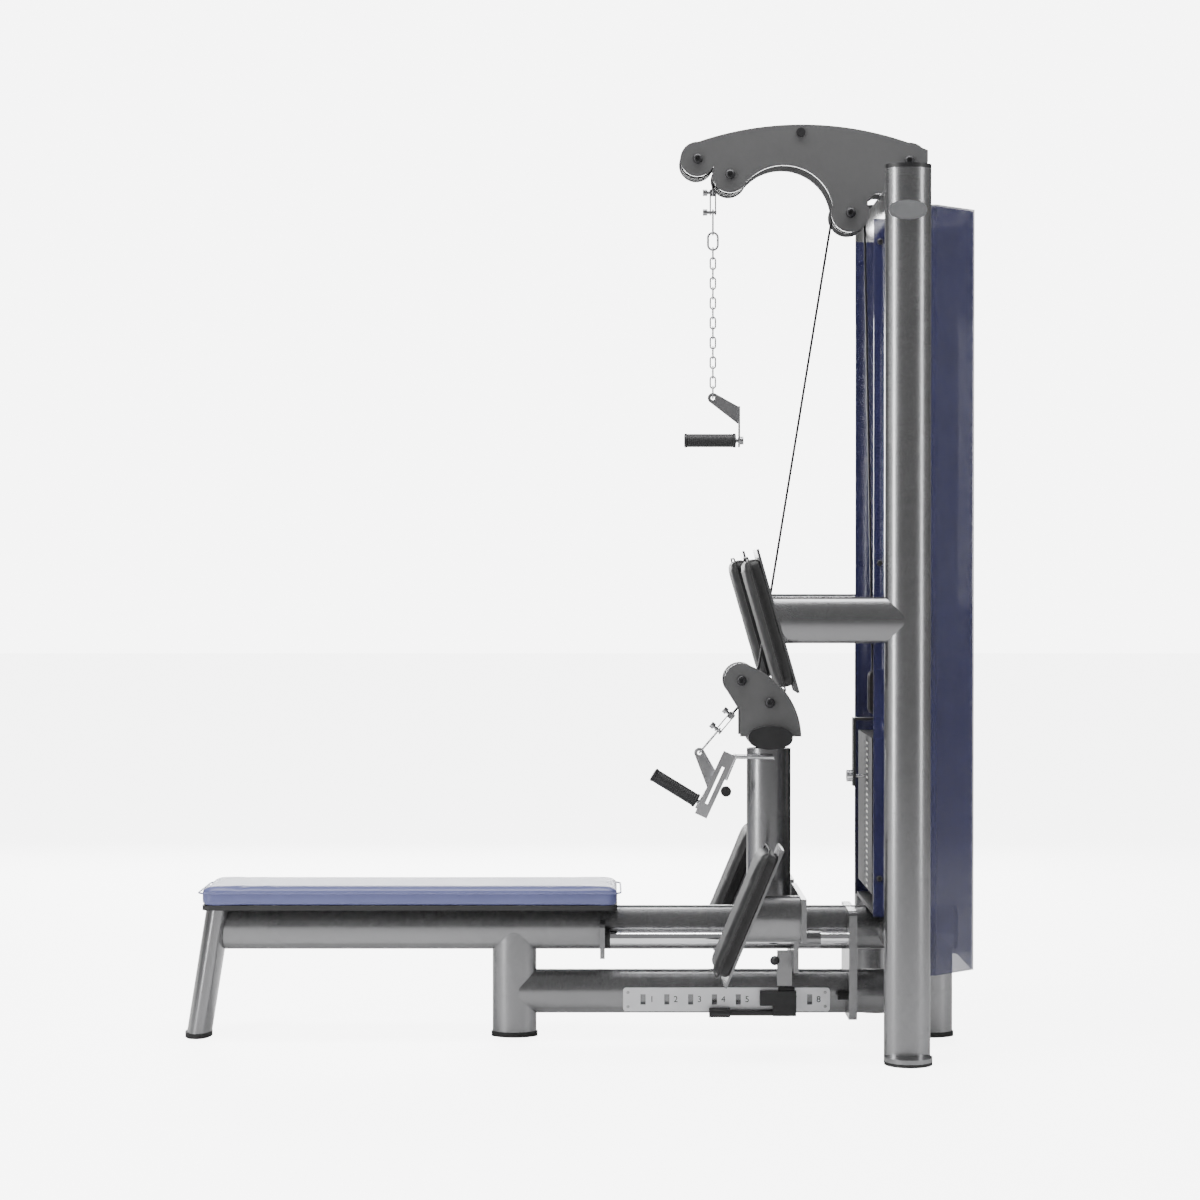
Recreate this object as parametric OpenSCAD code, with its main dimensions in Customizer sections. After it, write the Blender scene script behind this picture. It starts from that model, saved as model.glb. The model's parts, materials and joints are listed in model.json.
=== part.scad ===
// Lat pulldown and low row machine with one weight stack.
// +X points to the stack, the bench is at -X, +Z is up, and the floor is Z = 0.

/* [Overall] */
// Length from the front foot to the back of the cover
machine_length = 1954; // [1900:1:2200]
// Height of the capped column tops
column_height = 2122; // [2000:1:2300]
// Distance between the two column axes
column_spacing = 720; // [680:1:900]

/* [Tube] */
// Broad side of the oval tube
tube_broad = 110; // [100:1:120]
// Narrow side of the oval tube
tube_narrow = 70; // [60:1:76]
// Wall of the oval tube
tube_wall = 3; // [2:0.5:5]
// Radius of the tube's two ends
tube_end_r = 22; // [18:1:25]
// Height of the upper beam's axis
upper_beam_z = 272; // [262:1:300]
// Height of the lower beam's axis
lower_beam_z = 112; // [80:1:120]
// Thickness of the rubber feet
foot_h = 12; // [6:1:20]

/* [Pulleys] */
// Outer radius of every pulley
pulley_r = 43; // [42:0.5:44]
// Radius at which the cable's axis runs
wrap_r = 40.2; // [39:0.1:41]
// Width of a pulley's rim
pulley_w = 24; // [16:1:30]
// Diameter of the pulley bolts
bolt_d = 12; // [8:1:16]
// Diameter of the coated cable
cable_d = 6; // [4:0.5:8]
// Thickness of the pulley side plates
side_plate_t = 8; // [5:1:10]
// Gap between the two pulley side plates
side_plate_gap = 92; // [80:1:100]

/* [Stack] */
// Number of weight plates under the top plate
plate_count = 26; // [20:1:26]
// Number of plates lifted by the pin
raised_count = 7; // [1:1:12]
// Height of one plate
plate_h = 13.9; // [10:0.1:14]
// Width of a plate across the machine
plate_w = 340; // [280:1:400]
// Depth of a plate
plate_d = 120; // [90:1:130]
// Diameter of the guide rods
guide_d = 20; // [16:1:25]
// Diameter of the selector stem
stem_d = 22; // [20:1:26]
// Diameter of the selector pin
pin_d = 9.5; // [8:0.5:10]

/* [Seat and pads] */
// Width of the bench pad
bench_w = 250; // [220:1:280]
// Length of the bench pad
bench_l = 1044; // [900:1:1100]
// Thickness of the bench pad
bench_t = 48; // [30:1:60]
// Width of the chest and foot pads
pad_w = 190; // [150:1:220]
// Length of the chest and foot pads
pad_l = 330; // [280:1:350]
// Thickness of the chest and foot pads
pad_t = 42; // [30:1:50]

/* [Carriage] */
// Diameter of the carriage rods
rod_d = 35; // [30:1:40]
// Length of a carriage rod
rod_l = 602; // [560:1:640]
// Distance between two latch slots
slot_pitch = 59.3; // [50:0.1:60]
// Number of latch slots
slot_count = 8; // [4:1:8]

/* [Cover] */
// Half width of the cover
cover_half_w = 230; // [215:1:240]
// Wall of the cover
cover_t = 4; // [2:0.5:6]

/* [Hidden] */
$fn = 48;
weld_gap = 0.3;
seat_gap = 0.2;
long = 3000;

// Stations along the machine
front_x = -machine_length / 2;
rear_x = machine_length / 2;
column_x = rear_x - 189;
column_y = column_spacing / 2;
rear_post_x = rear_x - 89;
upper_beam_end = rear_x - 34;
middle_leg_x = front_x + 824;
leg_tilt = 9;
leg_narrow = 61;
leg_foot_x = front_x + leg_narrow / 2 + 3;
beam_top = upper_beam_z + tube_broad / 2;
cross_beam_z = column_height - tube_broad / 2;
base_plate_t = 10;
flange_h = 10;
sole_h = 8;
flange_r = 57;
flange_out = 25;
cap_h = 10;

// Bench
board_t = 12;
bench_x = front_x + 47;
bench_z = beam_top + seat_gap + board_t;
bench_corner = 30;

// Upper pulleys, from the column's axis and top
nose = [column_x - 485.5, column_height + 60.5];
second = [column_x - 405, column_height + 21.5];
spacer = [column_x - 230, column_height + 126];
rear = [column_x + 38.5, column_height + 55.5];
return = [column_x - 107, column_height - 73];
arm_arc = [column_x - 227, column_height - 654];
arm_arc_r = 800;
arch = [column_x - 272, column_height - 79];
arch_r = 124;

// Low pulleys, from the low post's axis
low_x = column_x - 305;
head_z = 750;
head_narrow = 58;
low_nose = [low_x - 71, head_z + 141];
low_second = [low_x - 1, head_z + 86];

// Weight stack
stack_x = column_x - 4;
stack_pitch = plate_h + weld_gap;
base_top = beam_top + seat_gap + base_plate_t;
buffer_h = 37;
stack_z = base_top + buffer_h;
stack_top = stack_z + plate_count * stack_pitch;
top_plate_h = 12;
raised_z = stack_top - raised_count * stack_pitch;
pin_z = raised_z + plate_h / 2;
guide_y = 110;
guide_gap = 1;
housing_z = stack_top + 59;
housing_r = 52;
floating = [stack_x, housing_z + 63];
hanger_x = stack_x - 91;
stem_foot = stack_z + 4;

// Pads
chest_tilt = 16;
chest_at = [column_x - 305, 1046];
foot_tilt = -22.7;
foot_at = [column_x - 360.5, 341];
back_plate_t = 6;
back_plate_l = 352;
pad_y = column_y - 50;

// Carriage
rod_x = front_x + 1050;
rod_y = 75;
rod_z = upper_beam_z - 17;
front_bracket_t = 12;
rear_bracket_t = 20;
carriage_t = 12;
carriage_x = rod_x + 465;
latch_x = rod_x + 451;
sleeve_l = 56;
sleeve_d = 48;
running = 0.05;
slide_clear = 5;
scale_z = 96;
scale_h = 59;
scale_t = 3;
scale_y = -tube_narrow / 2 - seat_gap - scale_t;
slot_first = rod_x + 95.2;
latch_axis = [-54, 124];

// Handles, hung from the cable's ends
pull_x = second[0] - wrap_r;
coupling_l = 49;
ferrule_h = 9;
upper_pin_z = second[1] - 37;
low_out = 40.3;
low_touch = low_nose + wrap_r * [cos(low_out), -sin(low_out)];
low_pin = low_touch - 83 * [sin(low_out), cos(low_out)];
handle_turn = 31.5;
link_gap = 0.3;
splice = 0.05;
wire = 4;

// Cover
cover_front = stack_x - plate_d / 2 - 3;
cover_bend = rear_x - 104;
cover_rear_y = 135;
cover_z = 185;
cover_top = cross_beam_z - 21;
cover_turn = atan2(cover_half_w - cover_rear_y, rear_x - cover_bend);

// Radius of the oval tube's broad faces
function face_r(b, n, r) = (pow(b / 2 - r, 2) + pow(n / 2, 2) - r * r) / (n - 2 * r);

// Ends of a straight run between two pulleys, on side +1 (left of travel) or -1 of each
function run_ends(c, d, s, t) =
    let (gap = norm(d - c), u = (d - c) / gap, k = (s - t) * wrap_r / gap,
        n = k * u + sqrt(1 - k * k) * [-u[1], u[0]])
    [c + s * wrap_r * n, d + t * wrap_r * n];
function angle_at(c, p) = (atan2(p[1] - c[1], p[0] - c[0]) + 360) % 360;

top_run = run_ends(second, rear, 1, 1);
rear_run = run_ends(rear, floating, 1, 1);
up_run = run_ends(floating, return, 1, -1);
long_run = run_ends(return, low_nose, -1, 1);

// Plates, hubs and the low head
low_head_l = 150;
top_places = [nose, second, spacer, rear, return];
low_places = [low_nose, low_second];
plate_hub = side_plate_gap / 2 - 0.5;
housing_hub = 15;

// Handle holder
holder_y = -tube_narrow / 2 - 10;
holder_bend = [low_x - 87, head_z - 48];
holder_top = [low_x - 100, head_z - 40];
holder_foot = [low_x - 172, head_z - 195];
strip_y = holder_y - 8;

// Chain under the upper shackle
thin_l = 66;
ring_l = 48;
ring_wire = 5.5;
link_l = 33;
link_pitch = link_l - 2 * wire - link_gap;
thin_c = upper_pin_z - coupling_l + 4 + link_gap + wire - thin_l / 2;
ring_c = thin_c - (thin_l / 2 - wire) - (ring_l / 2 - ring_wire) + link_gap;
chain_c = ring_c - (ring_l / 2 - ring_wire) - (link_l / 2 - wire) + link_gap;
link_count = 15;
hole_z = chain_c - (link_count - 1) * link_pitch - link_l / 2 + wire / 2;

// Handle bracket and grip
grip_x = -7;
grip_z = -106;
grip_l = 129;
leg_x = grip_x + grip_l / 2 + 5;

// Long link under the low shackle
low_down = [sin(low_out), cos(low_out)];
low_link_l = 84;
low_last_pin = low_pin - coupling_l * low_down;
low_link_c = low_last_pin + (4 + link_gap + wire - low_link_l / 2) * low_down;
low_hole = low_link_c - (low_link_l / 2 - wire / 2) * low_down;

// Carriage plate and its wings
carriage_low = lower_beam_z + tube_broad / 2 + 6;
carriage_high = beam_top + 43;
wing_z = upper_beam_z + 61;

// Rear face of the columns
beam_rear = column_x + tube_narrow / 2 + 0.5;

// Oval outline with its broad side along X
module oval(b = tube_broad, n = tube_narrow, r = tube_end_r) {
    big = face_r(b, n, r);
    flat = (b / 2 - r) * big / (big - r);
    for (s = [-1, 1]) translate([s * (b / 2 - r), 0]) circle(r = r);
    intersection() {
        translate([0, big - n / 2]) circle(r = big, $fn = 96);
        translate([0, n / 2 - big]) circle(r = big, $fn = 96);
        square([2 * flat, n], center = true);
    }
}

module grown_oval(g, b = tube_broad, n = tube_narrow) oval(b + 2 * g, n + 2 * g, tube_end_r + g);

module tube_outline(b = tube_broad, n = tube_narrow) {
    difference() {
        oval(b, n);
        grown_oval(-tube_wall, b, n);
    }
}

// Stands an XY outline along X, Y or Z
module along_x(l) rotate([0, 90, 0]) linear_extrude(l) children();
module along_y(l) rotate([90, 0, 0]) linear_extrude(l, center = true) children();

// Solid fillers that cut the saddles where one tube meets another
module upper_beam_space(g = weld_gap) translate([-long / 2, 0, upper_beam_z]) along_x(long) grown_oval(g);
module lower_beam_space(g = weld_gap) translate([-long / 2, 0, lower_beam_z]) along_x(long) grown_oval(g);
module post_space(x, y = 0) translate([x, y, -1]) linear_extrude(long) grown_oval(weld_gap);
module bench_leg_shape(g = 0) {
    translate([leg_foot_x, 0, 0]) rotate([0, leg_tilt, 0]) translate([0, 0, -60])
        linear_extrude(480) rotate(90) grown_oval(g, tube_broad, leg_narrow);
}
module cross_beam_space() translate([column_x, 0, cross_beam_z])
    along_y(long) rotate(90) grown_oval(weld_gap);
module columns_space() for (s = [-1, 1]) post_space(column_x, s * column_y);

module upper_beam() color("silver") difference() {
    translate([leg_foot_x, 0, upper_beam_z]) along_x(upper_beam_end - leg_foot_x) tube_outline();
    bench_leg_shape(weld_gap);
    translate([leg_foot_x - 20, -100, 0]) cube([68, 200, 400]);
}

module bench_leg() color("silver") intersection() {
    difference() {
        bench_leg_shape();
        bench_leg_shape(-tube_wall);
    }
    translate([front_x - 50, -100, foot_h]) cube([400, 200, beam_top - foot_h]);
}

module upright(x, top) difference() {
    translate([x, 0, foot_h]) linear_extrude(top - foot_h) tube_outline();
    upper_beam_space();
}

module middle_leg() color("silver") upright(middle_leg_x, upper_beam_z - 12);

module rear_post() color("silver") upright(rear_post_x, upper_beam_z - 12);

module lower_beam() color("silver") difference() {
    translate([middle_leg_x + 12, 0, lower_beam_z])
        along_x(rear_post_x - middle_leg_x - 24) tube_outline();
    post_space(middle_leg_x);
    post_space(rear_post_x);
}

module foot_pad_oval(x, turn, b, n) translate([x, 0, 0])
    linear_extrude(foot_h) rotate(turn) grown_oval(3, b, n);

module flange_outline(y) {
    translate([0, y]) oval();
    translate([0, y + sign(y) * flange_out]) circle(r = flange_r);
}

module rubber_feet() color("#1c1c1c") {
    foot_pad_oval(leg_foot_x, 90, tube_broad, leg_narrow);
    foot_pad_oval(middle_leg_x, 0, tube_broad, tube_narrow);
    foot_pad_oval(rear_post_x, 0, tube_broad, tube_narrow);
    for (s = [-1, 1]) translate([column_x, 0, 0]) linear_extrude(sole_h) flange_outline(s * column_y);
}

module columns() color("silver") for (s = [-1, 1]) translate([column_x, 0, 0]) {
    translate([0, 0, sole_h]) linear_extrude(flange_h) flange_outline(s * column_y);
    translate([0, s * column_y, sole_h + flange_h])
        linear_extrude(column_height - cap_h - sole_h - flange_h) tube_outline();
}

module end_caps() color("#202022") {
    for (s = [-1, 1]) translate([column_x, s * column_y, column_height - cap_h])
        linear_extrude(cap_h) oval();
    translate([upper_beam_end, 0, upper_beam_z]) along_x(cap_h) oval();
    for (s = [-1, 1]) translate([low_x, s * (low_head_l / 2 + 2), head_z])
        along_y(4) oval(tube_broad, head_narrow);
}

module column_badge() color("#c8c8c8")
    translate([column_x - 4, -column_y - tube_narrow / 2 - seat_gap - 1, column_height - 111])
        along_y(2) oval(90, 46, 18);

module top_cross_beam() color("silver") difference() {
    translate([column_x, 0, cross_beam_z]) along_y(column_spacing - 24) rotate(90) tube_outline();
    columns_space();
}

module base_cross_tubes() color("silver") difference() {
    translate([column_x, 0, upper_beam_z]) along_y(column_spacing - 24) rotate(90) tube_outline();
    columns_space();
    upper_beam_space();
    cube([long, 30, long], center = true);
}

// Back plate of a pad, square to the pad's tilt, with its back face through the given place
module back_plate(at, tilt, y) translate([at[0], y, at[1]]) rotate([0, -tilt, 0])
    translate([-back_plate_t / 2, 0, 0]) cube([back_plate_t, pad_w - 30, back_plate_l], center = true);

module pad_block(at, tilt, y) translate([at[0], y, at[1]]) rotate([0, -tilt, 0])
    translate([-back_plate_t - weld_gap - pad_t, 0, 0]) rotate([90, 0, 90])
        linear_extrude(pad_t) rounded(pad_w, pad_l, 25);

module rounded(w, l, r) {
    square([w - 2 * r, l], center = true);
    square([w, l - 2 * r], center = true);
    for (x = [-1, 1], y = [-1, 1]) translate([x * (w / 2 - r), y * (l / 2 - r)]) circle(r = r);
}

// Short tube from a post to a pad's back plate, cut square to the plate
module pad_arm(at, tilt, z, y, end_x) difference() {
    translate([at[0] - 60, y, z]) along_x(end_x - at[0] + 60) tube_outline();
    translate([at[0], y, at[1]]) rotate([0, -tilt, 0]) translate([-200, -60, -300]) cube([200, 120, 600]);
}

module pad_arms() color("silver") for (s = [-1, 1]) {
    difference() {
        pad_arm(chest_at, chest_tilt, 1047, s * column_y, column_x - 12);
        columns_space();
    }
    back_plate(chest_at, chest_tilt, s * pad_y);
}

module chest_pad_near() color("#303030") pad_block(chest_at, chest_tilt, -pad_y);
module chest_pad_far() color("#303030") pad_block(chest_at, chest_tilt, pad_y);

module bench_board() color("#202020") translate([bench_x + bench_l / 2, 0, bench_z - board_t])
    linear_extrude(board_t) rounded(bench_l - 20, bench_w - 20, bench_corner - 10);

module bench_pad() color("#60649a") translate([bench_x + bench_l / 2, 0, bench_z])
    linear_extrude(bench_t) rounded(bench_l, bench_w, bench_corner);

// Places a child drawn in the XZ plane on both pulley side plates
module side_plates() for (s = [-1, 1])
    translate([0, s * (side_plate_gap + side_plate_t) / 2, 0]) along_y(side_plate_t) children();

module arm_outline() {
    difference() {
        intersection() {
            translate(arm_arc) circle(r = arm_arc_r, $fn = 240);
            polygon([nose, second, second + [38, -21], arch, return + [-40, -6], return,
                return + [43, 0], return + [43, 36], [column_x - 44, column_height - 25],
                [column_x + 60, column_height - 25], [column_x + 85, rear[1]],
                [column_x + 85, column_height + 178], [nose[0], column_height + 178]]);
        }
        translate(arch) circle(r = arch_r, $fn = 96);
        translate([column_x, cross_beam_z]) rotate(90) grown_oval(weld_gap);
    }
    translate(nose) circle(r = pulley_r);
    translate(second) circle(r = pulley_r + 1);
    translate(return) circle(r = pulley_r + 4);
    translate(rear) circle(r = pulley_r + 3);
}

module bolt_holes(places) for (p = places) translate([p[0], 0, p[1]])
    rotate([90, 0, 0]) cylinder(h = 2 * side_plate_gap, d = bolt_d + 2 * running, center = true);

module top_plates() color("#6c6c6e") difference() {
    side_plates() arm_outline();
    bolt_holes(top_places);
}

module low_outline() {
    difference() {
        intersection() {
            translate([low_x - 112, head_z - 3]) circle(r = 190, $fn = 96);
            polygon([[low_x - 74, head_z + 2], [low_x + 90, head_z + 2], [low_x + 90, head_z + 190],
                [low_nose[0], low_nose[1] + pulley_r], low_nose, low_nose + [-31, -30],
                [low_x - 74, head_z + 66]]);
        }
        translate([low_x, head_z]) grown_oval(weld_gap, tube_broad, head_narrow);
    }
    translate(low_nose) circle(r = pulley_r);
}

module low_plates() color("#8a8a8c") difference() {
    side_plates() low_outline();
    bolt_holes(low_places);
}

// Bolt along Y with a head on both outer faces
module pulley_bolt(at, grip, head_r, head_h) translate([at[0], 0, at[1]]) rotate([90, 0, 0]) {
    cylinder(h = grip, d = bolt_d, center = true);
    for (s = [-1, 1]) translate([0, 0, s * (grip + head_h) / 2])
        cylinder(h = head_h, r = head_r, center = true);
}

module pulley_bolts() color("#2a2a2a") {
    for (p = concat(top_places, low_places))
        pulley_bolt(p, side_plate_gap + 2 * side_plate_t, 11, 7);
    translate([spacer[0], 0, spacer[1]]) rotate([90, 0, 0])
        cylinder(h = side_plate_gap - 2 * seat_gap, d = 22, center = true);
}

module pulley(hub_half) rotate([90, 0, 0]) rotate_extrude($fn = 64) polygon([
    [bolt_d / 2 + running, -hub_half], [14, -hub_half], [14, -pulley_w / 2], [pulley_r, -pulley_w / 2],
    [pulley_r, -pulley_w / 2 + 3], [wrap_r - cable_d / 2 - weld_gap, -cable_d / 2 - 0.5],
    [wrap_r - cable_d / 2 - weld_gap, cable_d / 2 + 0.5], [pulley_r, pulley_w / 2 - 3],
    [pulley_r, pulley_w / 2], [14, pulley_w / 2], [14, hub_half], [bolt_d / 2 + running, hub_half]]);

module place(at) translate([at[0], 0, at[1]]) children();

module nose_pulley() color("#303030") place(nose) pulley(plate_hub);
module second_pulley() color("#303030") place(second) pulley(plate_hub);
module rear_pulley() color("#303030") place(rear) pulley(plate_hub);
module return_pulley() color("#303030") place(return) pulley(plate_hub);
module floating_pulley() color("#303030") place(floating) pulley(housing_hub);
module low_nose_pulley() color("#303030") place(low_nose) pulley(plate_hub);
module low_second_pulley() color("#303030") place(low_second) pulley(plate_hub);

module low_post() color("silver") difference() {
    translate([low_x, 0, beam_top - 40])
        linear_extrude(head_z - head_narrow / 2 - weld_gap - beam_top + 40) tube_outline();
    upper_beam_space();
    translate([low_x, 0, upper_beam_z]) cube([200, 200, 60], center = true);
}

module low_head_tube() color("silver") translate([low_x, 0, head_z])
    along_y(low_head_l) tube_outline(tube_broad, head_narrow);

// Bar of a round or flat section between two places in the XZ plane
module bar(p, q, t, w, y = 0) translate([p[0], y, p[1]]) rotate([0, atan2(q[0] - p[0], q[1] - p[1]), 0])
    translate([-t / 2, -w / 2, 0]) cube([t, w, norm(q - p)]);
module rod(p, q, d, y = 0) translate([p[0], y, p[1]]) rotate([0, atan2(q[0] - p[0], q[1] - p[1]), 0])
    cylinder(h = norm(q - p), d = d);

module handle_holder() color("#c0c0c2") {
    rod([low_x + 10, head_z - 50], holder_bend, 12, holder_y);
    translate([holder_bend[0], holder_y, holder_bend[1]]) sphere(d = 14);
    rod(holder_bend, holder_bend + [-24, -58], 12, holder_y);
    translate([low_x, holder_y + 5, head_z - 50]) rotate([90, 0, 0])
        cylinder(h = 9.6, d = 12, center = true);
    difference() {
        bar(holder_top, holder_foot, 32, 6, strip_y);
        bar(holder_top + [-16, -34], holder_foot + [14, 30], 7, 20, strip_y);
    }
    translate([holder_foot[0] + 6, 0, holder_foot[1] + 10]) translate([0, strip_y + 12, 0])
        rotate([90, 0, 0]) cylinder(h = 24, d = 10, center = true);
}

module holder_knob() color("#181818") translate([low_x - 110, strip_y - 3 - 9, head_z - 133])
    rotate([90, 0, 0]) cylinder(h = 18, d = 26, center = true);

module scale_plate() color("#d0d0d0") difference() {
    translate([rod_x + 303, scale_y + scale_t / 2, scale_z]) along_y(scale_t) rounded(515, scale_h, 8);
    for (i = [0 : slot_count - 1]) translate([slot_first + i * slot_pitch, scale_y, scale_z])
        cube([13, 20, 26], center = true);
}

module rod_brackets() color("silver") difference() {
    union() {
        translate([rod_x - front_bracket_t, 0, rod_z - 5]) along_x(front_bracket_t) rounded(90, 210, 12);
        translate([rod_x + rod_l, 0, (rod_z + lower_beam_z) / 2 + 6])
            along_x(rear_bracket_t) rounded(270, 210, 12);
    }
    upper_beam_space();
    lower_beam_space();
}

module carriage_rods() color("#e8e8ea") for (s = [-1, 1])
    translate([rod_x, s * rod_y, rod_z]) rotate([0, 90, 0]) cylinder(h = rod_l, d = rod_d);

module rubber_bumpers() color("#181818") {
    for (s = [-1, 1]) translate([rod_x, s * rod_y, rod_z]) rotate([0, 90, 0]) difference() {
        cylinder(h = 13, d = 50);
        translate([0, 0, -1]) cylinder(h = 15, d = rod_d + 2 * seat_gap);
    }
    translate([rod_x + rod_l - 24, -60, scale_z + 14]) rotate([0, 90, 0]) cylinder(h = 24, d = 22);
    for (s = [-1, 1]) translate([stack_x, s * guide_y, base_top]) difference() {
        cylinder(h = buffer_h - seat_gap, d = 50);
        translate([0, 0, -1]) cylinder(h = buffer_h + 2, d = guide_d + 2 * guide_gap);
    }
}

module stack_guide_rods() color("#e8e8ea") for (s = [-1, 1]) translate([stack_x, s * guide_y, base_top])
    cylinder(h = column_height - tube_broad - seat_gap - base_top, d = guide_d);

module stack_base() color("#303030")
    translate([stack_x - plate_d / 2, -cover_half_w + 30, beam_top + seat_gap])
    cube([plate_d, 2 * (cover_half_w - 30), base_plate_t]);

module weight_plate(z, h, bored = true) translate([stack_x, 0, z]) difference() {
    translate([-plate_d / 2, -plate_w / 2, 0]) cube([plate_d, plate_w, h]);
    translate([0, 0, -1]) cylinder(h = h + 2, d = stem_d + 2 * guide_gap);
    for (s = [-1, 1]) translate([0, s * guide_y, -1]) cylinder(h = h + 2, d = guide_d + 2 * guide_gap);
    if (bored) translate([-plate_d / 2 - 1, 0, h / 2]) rotate([0, 90, 0])
        cylinder(h = plate_d / 2 + 20, d = pin_d + 2 * seat_gap);
}

module lower_plates() color("#3a3a3c") for (i = [0 : plate_count - raised_count - 1])
    weight_plate(stack_z + i * stack_pitch, plate_h);

module raised_plates() color("#3a3a3c") {
    for (i = [0 : raised_count - 1]) weight_plate(raised_z + i * stack_pitch, plate_h);
    weight_plate(stack_top, top_plate_h, false);
}

module selector_stem() color("#c8c8ca") translate([stack_x, 0, 0]) difference() {
    union() {
        translate([0, 0, stem_foot]) cylinder(h = housing_z - stem_foot, d = stem_d);
        translate([0, 0, stack_top + top_plate_h + seat_gap]) cylinder(h = 10, d = 36);
        translate([0, 0, housing_z - 22]) cylinder(h = 10, d = 36);
    }
    for (i = [1 : plate_count - 1]) translate([0, 0, stack_z + plate_h / 2 + i * stack_pitch])
        rotate([0, 90, 0]) cylinder(h = 60, d = pin_d + 2 * seat_gap, center = true);
}

module floating_housing() color("#202020") {
    difference() {
        for (s = [-1, 1]) translate([stack_x, s * (housing_hub + 4), housing_z + housing_r + 5])
            along_y(6) rounded(2 * housing_r, 2 * housing_r + 10, 20);
        bolt_holes([floating]);
    }
    translate([stack_x, 0, housing_z + 5]) cube([60, 2 * (housing_hub + 1), 10], center = true);
    pulley_bolt(floating, 2 * (housing_hub + 7), 10, 5);
}

module stack_hanger() color("#202020") difference() {
    union() {
        translate([hanger_x, -20, housing_z - 12]) cube([stack_x - hanger_x + 22, 40, 6]);
        translate([hanger_x, -20, pin_z - 25]) cube([6, 40, housing_z - 6 - pin_z + 25]);
    }
    translate([stack_x, 0, housing_z - 20]) cylinder(h = 20, d = stem_d + 2 * seat_gap);
    translate([hanger_x - 5, 0, pin_z]) rotate([0, 90, 0]) cylinder(h = 20, d = pin_d + 2 * seat_gap);
}

module selector_pin() color("#e0e0e0") translate([0, 0, pin_z]) rotate([0, 90, 0]) {
    translate([0, 0, hanger_x - 15]) cylinder(h = 14, d = 30);
    translate([0, 0, hanger_x - 2]) cylinder(h = stack_x + 15 - hanger_x + 2, d = pin_d);
}

// Cable lying on a pulley between two angles
module wrap(c, from, to) place(c) rotate([90, 0, 0]) rotate([0, 0, from])
    rotate_extrude(angle = to - from, $fn = 96) translate([wrap_r, 0]) circle(d = cable_d, $fn = 24);
// Straight cable, a hair short of the arc at each end
module run(ends) let (u = (ends[1] - ends[0]) / norm(ends[1] - ends[0]))
    rod(ends[0] + splice * u, ends[1] - splice * u, cable_d);

module cable_fixed() color("#141414") {
    wrap(second, angle_at(second, top_run[0]), 180);
    run(top_run);
    wrap(rear, angle_at(rear, rear_run[0]) - 360, angle_at(rear, top_run[1]));
    wrap(return, angle_at(return, up_run[1]), angle_at(return, long_run[0]));
    run(long_run);
    wrap(low_nose, -low_out, angle_at(low_nose, long_run[1]) - 360);
}

module cable_stack_runs() color("#141414") {
    run(rear_run);
    run(up_run);
}

module cable_floating_wrap() color("#141414")
    wrap(floating, angle_at(floating, up_run[0]), angle_at(floating, rear_run[1]));

module cable_upper_end() color("#141414") run([[pull_x, second[1]], [pull_x, upper_pin_z + ferrule_h]]);
module cable_low_end() color("#141414") run([low_touch, low_pin + ferrule_h * [sin(low_out), cos(low_out)]]);

// Cable-end shackle drawn hanging down from its upper pin at the origin
module coupling() {
    difference() {
        translate([0, 0, -9]) cylinder(h = ferrule_h + 9, d = 9.6);
        rotate([0, 90, 0]) cylinder(h = 40, d = 8 + 2 * seat_gap, center = true);
    }
    difference() {
        for (s = [-1, 1]) translate([s * 6.5, 0, -coupling_l / 2])
            cube([3, 14, coupling_l + 14], center = true);
        for (z = [0, -coupling_l]) translate([0, 0, z]) rotate([0, 90, 0])
            cylinder(h = 40, d = 8 + 2 * seat_gap, center = true);
    }
    for (z = [0, -coupling_l]) translate([0, 0, z]) rotate([0, -90, 0]) {
        translate([0, 0, -9]) cylinder(h = 24, d = 8);
        translate([0, 0, 14]) cylinder(h = 11, d = 16);
    }
}

// Chain link in the XZ plane, centred on the origin
module link(l, w, d = wire) {
    straight = l - w;
    for (s = [-1, 1]) {
        translate([s * (w - d) / 2, 0, 0]) cylinder(h = straight, d = d, center = true, $fn = 16);
        translate([0, 0, s * straight / 2]) rotate([90, 0, 0]) rotate([0, 0, s * 90 - 90])
            rotate_extrude(angle = 180, $fn = 32) translate([(w - d) / 2, 0]) circle(d = d, $fn = 16);
    }
}

module upper_coupling() color("#b8b8ba") place([pull_x, upper_pin_z]) coupling();

module chain() color("#909092") translate([pull_x, 0, 0]) {
    translate([0, 0, thin_c]) rotate(90) link(thin_l, 20);
    translate([0, 0, ring_c]) link(ring_l, 30, ring_wire);
    for (i = [0 : link_count - 1]) translate([0, 0, chain_c - i * link_pitch])
        rotate(i % 2 == 0 ? 90 : 0) link(link_l, 17);
}

// Handle bracket with its eye at the origin and its spindle along X
module handle_bracket() {
    difference() {
        union() {
            along_y(5) {
                circle(r = 13);
                polygon([[-8, -10], [6, 11.5], [leg_x + 2, -21], [leg_x + 2, -66]]);
            }
            translate([leg_x, -17, grip_z]) cube([5, 34, -21 - grip_z]);
            translate([leg_x, 0, grip_z]) rotate([0, 90, 0]) cylinder(h = 5, r = 17);
        }
        rotate([90, 0, 0]) cylinder(h = 20, d = 10, center = true);
    }
    translate([grip_x - grip_l / 2 + 6, 0, grip_z]) rotate([0, 90, 0]) cylinder(h = grip_l, d = 10);
    translate([leg_x + 5, 0, grip_z]) rotate([0, 90, 0]) cylinder(h = 9, d = 20);
}

module handle_grip() translate([grip_x - grip_l / 2, 0, grip_z]) rotate([0, 90, 0]) difference() {
    union() {
        cylinder(h = grip_l, d = 33);
        translate([0, 0, grip_l - 4]) cylinder(h = 4, d = 38);
        cylinder(h = 6, d = 36);
    }
    translate([0, 0, 4]) cylinder(h = grip_l, d = 10 + 2 * running);
}

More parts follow.
